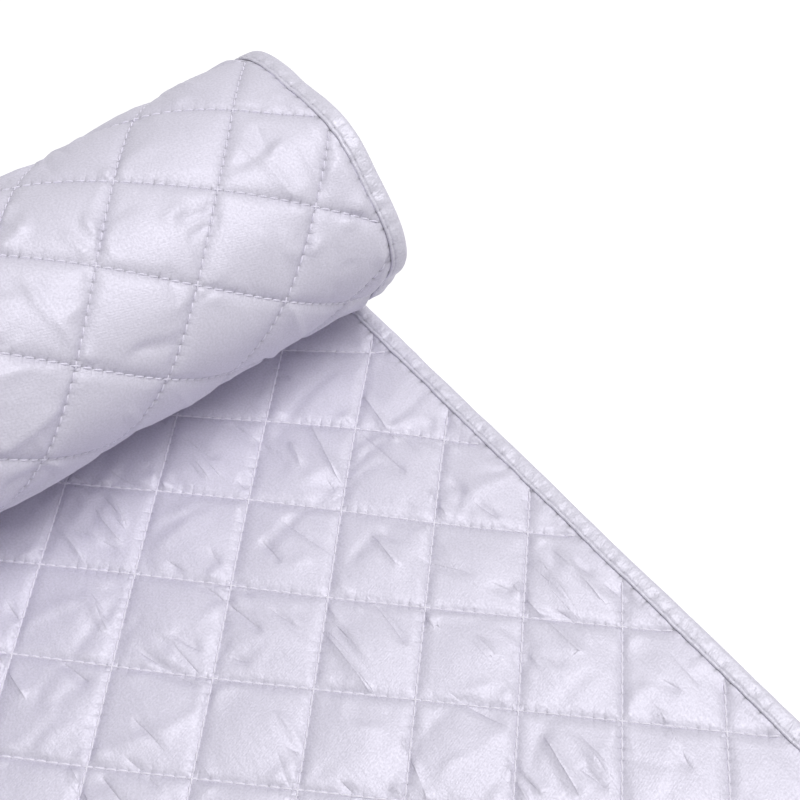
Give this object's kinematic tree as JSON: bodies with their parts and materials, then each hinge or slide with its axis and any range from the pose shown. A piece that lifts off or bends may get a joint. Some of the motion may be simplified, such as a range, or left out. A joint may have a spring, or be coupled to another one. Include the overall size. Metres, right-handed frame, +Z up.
{
  "type": "ironing pad",
  "caption": "Quilted satin ironing pad lying flat, with its far end rolled up on itself and a folded tape bound round its edges.",
  "frame": {"origin": "on the surface that the pad lies on, under the middle of its outer box", "axes": "+X along the pad from its rolled end to its flat end, +Y across the pad towards the long edge that the picture shows, +Z up"},
  "size_m": [0.4444, 0.48, 0.1225],
  "materials": {
    "face_satin": "silver coated satin with a fine diagonal weave and a soft sheen",
    "back_satin": "silver satin with a soft sheen",
    "tape_satin": "silver-grey satin binding tape, lightly puckered",
    "wadding": "off-white needled wadding",
    "quilting_thread": "pale lilac-grey sewing thread",
    "stitch_thread": "grey sewing thread"
  },
  "bodies": {
    "root": {"face_cloth": "face_satin", "wadding": "wadding", "back_cloth": "back_satin", "binding_right_side": "tape_satin", "binding_left_side": "tape_satin", "binding_flat_end": "tape_satin", "binding_rolled_end": "tape_satin", "binding_stitch_right_side_face": "stitch_thread", "binding_stitch_right_side_back": "stitch_thread", "binding_stitch_left_side_face": "stitch_thread", "binding_stitch_left_side_back": "stitch_thread", "binding_stitch_flat_end_face": "stitch_thread", "binding_stitch_flat_end_back": "stitch_thread", "binding_stitch_rolled_end_face": "stitch_thread", "binding_stitch_rolled_end_back": "stitch_thread", "quilting_thread_face": "quilting_thread", "quilting_thread_back": "quilting_thread"}
  },
  "joints": []
}
